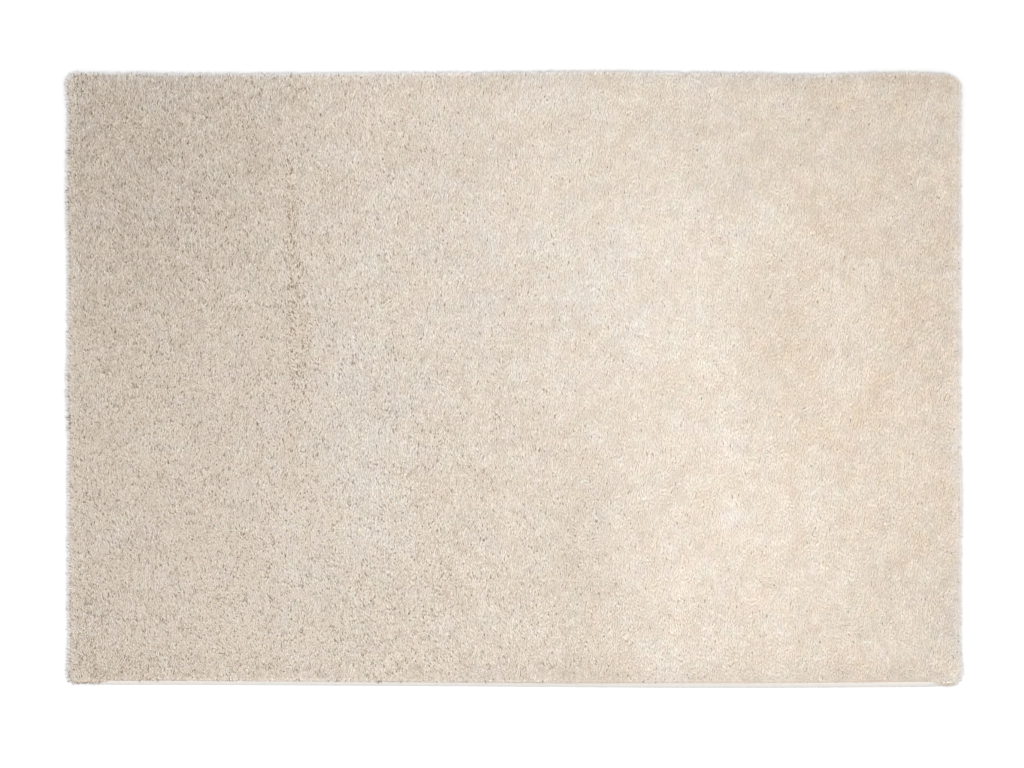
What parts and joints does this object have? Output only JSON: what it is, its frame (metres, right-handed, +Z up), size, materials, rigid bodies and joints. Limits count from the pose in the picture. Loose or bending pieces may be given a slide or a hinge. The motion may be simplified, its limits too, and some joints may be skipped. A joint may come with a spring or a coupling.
{
  "type": "shag rug",
  "caption": "Plain cream pile rug lying flat, a rectangle with softly rounded corners, its dense yarn pile overhanging an overcast edge that shows along the front.",
  "frame": {"origin": "on the surface the rug lies on, under the middle of its outline", "axes": "+X along the rug's length, +Y across its width from the front edge to the back edge, +Z up out of the pile"},
  "size_m": [1.9496, 1.34, 0.018],
  "materials": {
    "pile": "dense cut pile of soft cream yarn, matt, with a slight sheen where the tufts lie over and darker gaps between them",
    "edge_yarn": "thick off-white yarn whipped closely round the rim of the ground, matt, with a fine slanting rib"
  },
  "bodies": {
    "root": {"rug_mat": "pile", "edge_overcast": "edge_yarn"}
  },
  "joints": []
}
